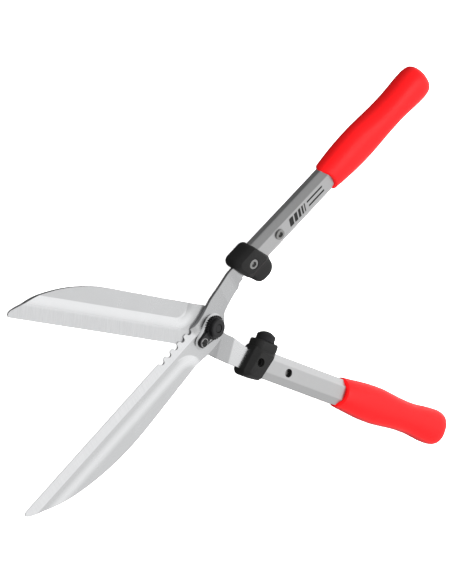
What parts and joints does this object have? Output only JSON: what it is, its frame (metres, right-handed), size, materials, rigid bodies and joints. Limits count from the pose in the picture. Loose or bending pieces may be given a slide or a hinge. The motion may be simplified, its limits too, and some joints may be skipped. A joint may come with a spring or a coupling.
{
  "type": "hedge shears",
  "caption": "Hand hedge shears with pressed steel blades on an adjustable pivot, tubular handles, soft swelling grips and a rubber stop buffer.",
  "frame": {"origin": "on the pivot axis, at the flat underside of the pivot bolt's head", "axes": "+Z along the pivot axis towards the toothed nut, +X from the pivot towards the handles midway between the arms, +Y towards the upper arm's handle; stored open at 56 degrees between the arms"},
  "size_m": [0.5068, 0.3788, 0.0743],
  "materials": {
    "blade_steel": "bright ground steel with fine grinding lines across the bevel",
    "bolt_steel": "zinc-plated fasteners and washers",
    "black_steel": "black oxide, lightly oiled",
    "satin_aluminium": "satin anodised, drawn lengthwise",
    "black_polymer": "fine-textured moulded nylon",
    "buffer_rubber": "matt black rubber",
    "red_grip": "satin dipped vinyl"
  },
  "bodies": {
    "upper_arm": {"upper_blade": "blade_steel", "pivot_bolt": "bolt_steel", "head_washer": "bolt_steel", "nut_washer": "bolt_steel", "toothed_nut": "black_steel", "locking_segment": "black_steel", "segment_screw": "bolt_steel", "upper_handle_tube": "satin_aluminium", "upper_tang_insert": "black_polymer", "upper_grip": "red_grip", "upper_collar_bolt": "bolt_steel", "upper_collar_nut": "bolt_steel", "upper_tube_bolt": "bolt_steel", "upper_tube_nut": "bolt_steel", "anvil_collar": "black_polymer"},
    "lower_arm": {"lower_blade": "blade_steel", "lower_handle_tube": "satin_aluminium", "lower_tang_insert": "black_polymer", "lower_grip": "red_grip", "lower_collar_bolt": "bolt_steel", "lower_collar_nut": "bolt_steel", "lower_tube_bolt": "bolt_steel", "lower_tube_nut": "bolt_steel", "buffer_collar": "black_polymer", "rubber_buffer": "buffer_rubber"}
  },
  "joints": [
    {"name": "blade_pivot", "type": "hinge", "parent": "upper_arm", "child": "lower_arm", "pos_m": [0, 0, 0], "axis": [0, 0, 1], "range_deg": [-34, 43.5]}
  ]
}
